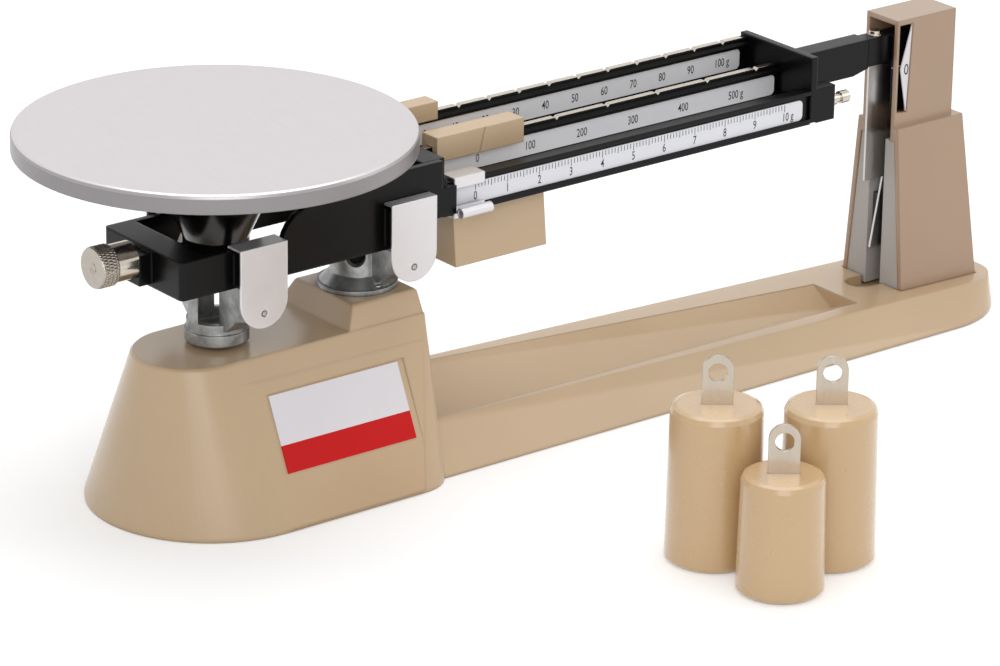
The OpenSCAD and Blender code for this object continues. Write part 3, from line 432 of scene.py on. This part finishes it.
# Zero on the dial and the white index line
lo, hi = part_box("dial_plate")
bm = bmesh.new()
text_into(bm, "0", 336.9, 104.1, lo[1] / MM - 0.03, 4.6, 0.8)
add_piece("dial_zero", bm, ink_m, "base")
lo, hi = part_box("index_flag")
bm = bmesh.new()
slab(bm, [(332.1, 104.3), (338.5, 104.3), (338.5, 104.75), (332.1, 104.75)], lo[1] / MM - 0.08,
     lo[1] / MM + 0.05)
add_piece("index_line", bm, line_m, "beam")


# Knurled head in place of the plain CAD cylinder
def knurled_head():
    """Diamond knurl and a dished end face, around the CAD head's own axis."""
    lo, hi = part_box("knob_head")
    x0, x1 = lo[0], hi[0]
    r = (hi[2] - lo[2]) / 2
    cz = (hi[2] + lo[2]) / 2
    bm = bmesh.new()
    n, m = 180, 22
    rings = []
    for j in range(m + 1):
        t = j / m
        x = x0 + (x1 - x0) * t
        chamfer = min(1, t * (x1 - x0) / 0.0006, (1 - t) * (x1 - x0) / 0.0004)
        ring = []
        for i in range(n):
            a = 2 * math.pi * i / n
            s = (x - x0) / 0.0011
            k = abs(math.sin(22 * a + s)) * abs(math.sin(22 * a - s))
            rr = r - 0.0005 * (1 - chamfer) - 0.00028 * (1 - k) * chamfer
            ring.append(bm.verts.new((x, rr * math.cos(a), cz + rr * math.sin(a))))
        rings.append(ring)
    for j in range(m):
        for i in range(n):
            i2 = (i + 1) % n
            bm.faces.new((rings[j][i], rings[j][i2], rings[j + 1][i2], rings[j + 1][i]))
    steps = ((0, 0.9), (0.00012, 0.55), (0.00012, 0.3), (0.0008, 0.12))
    prev = rings[0]
    for dx, f in steps:
        ring = [bm.verts.new((x0 + dx, r * f * math.cos(2 * math.pi * i / n), cz + r * f * math.sin(2 * math.pi * i / n))) for i in range(n)]
        for i in range(n):
            i2 = (i + 1) % n
            bm.faces.new((prev[i], ring[i], ring[i2], prev[i2]))
        prev = ring
    bm.faces.new(prev)
    bm.faces.new(rings[-1])
    o = add_piece("knob_knurl", bm, knurl_m, "knob")
    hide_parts("knob_head")


knurled_head()

# Floor, backdrop and lights
def seen_rays(nt, kinds):
    """1 for rays of the given kinds, otherwise 0."""
    rays = nt.nodes.new("ShaderNodeLightPath")
    last = rays.outputs[kinds[0]]
    for kind in kinds[1:]:
        larger = nt.nodes.new("ShaderNodeMath")
        larger.operation = "MAXIMUM"
        nt.links.new(last, larger.inputs[0])
        nt.links.new(rays.outputs[kind], larger.inputs[1])
        last = larger.outputs[0]
    return last


floor_m, nt, b = new_mat("floor")
b.inputs["Base Color"].default_value = (0.86, 0.86, 0.86, 1)
b.inputs["Roughness"].default_value = 0.9
b.inputs["Specular IOR Level"].default_value = 0.1
b.inputs["Emission Color"].default_value = (1, 1, 1, 1)
glow = nt.nodes.new("ShaderNodeMath")
glow.operation = "MULTIPLY"
glow.inputs[1].default_value = 0.3
nt.links.new(seen_rays(nt, ("Is Camera Ray", "Is Glossy Ray")), glow.inputs[0])
nt.links.new(glow.outputs[0], b.inputs["Emission Strength"])
bm = bmesh.new()
bmesh.ops.create_grid(bm, x_segments=2, y_segments=2, size=6)
me = bpy.data.meshes.new("floor")
bm.to_mesh(me)
bm.free()
floor = bpy.data.objects.new("floor", me)
floor.location = (0.15, 0, -0.0003)
bpy.context.scene.collection.objects.link(floor)
me.materials.append(floor_m)

world = bpy.data.worlds.new("world")
bpy.context.scene.world = world
world.use_nodes = True
wn = world.node_tree
wn.nodes.clear()
wout = wn.nodes.new("ShaderNodeOutputWorld")
bg = wn.nodes.new("ShaderNodeBackground")
bg.inputs["Color"].default_value = (1, 1, 1, 1)
mr = wn.nodes.new("ShaderNodeMapRange")
mr.inputs["To Min"].default_value = 0.62
mr.inputs["To Max"].default_value = 1.0
white_rays = seen_rays(wn, ("Is Camera Ray", "Is Glossy Ray", "Is Transmission Ray"))
wn.links.new(white_rays, mr.inputs["Value"])
wn.links.new(mr.outputs["Result"], bg.inputs["Strength"])
wn.links.new(bg.outputs["Background"], wout.inputs["Surface"])


def area(name, loc, target, size, power):
    """Square lamp that points at a target."""
    d = bpy.data.lights.new(name, "AREA")
    d.shape = "SQUARE"
    d.size = size
    d.energy = power
    o = bpy.data.objects.new(name, d)
    bpy.context.scene.collection.objects.link(o)
    o.location = loc
    o.rotation_euler = (Vector(target) - Vector(loc)).to_track_quat("-Z", "Y").to_euler()


area("key", (-0.7, -1.2, 0.9), (0.12, 0, 0.05), 0.9, 5.5)
area("top", (0.3, 0.2, 1.7), (0.12, 0, 0.05), 1.2, 9.5)
area("side", (1.6, -0.9, 0.9), (0.2, 0, 0.05), 0.9, 3.2)

bpy.context.scene.view_settings.view_transform = "Standard"
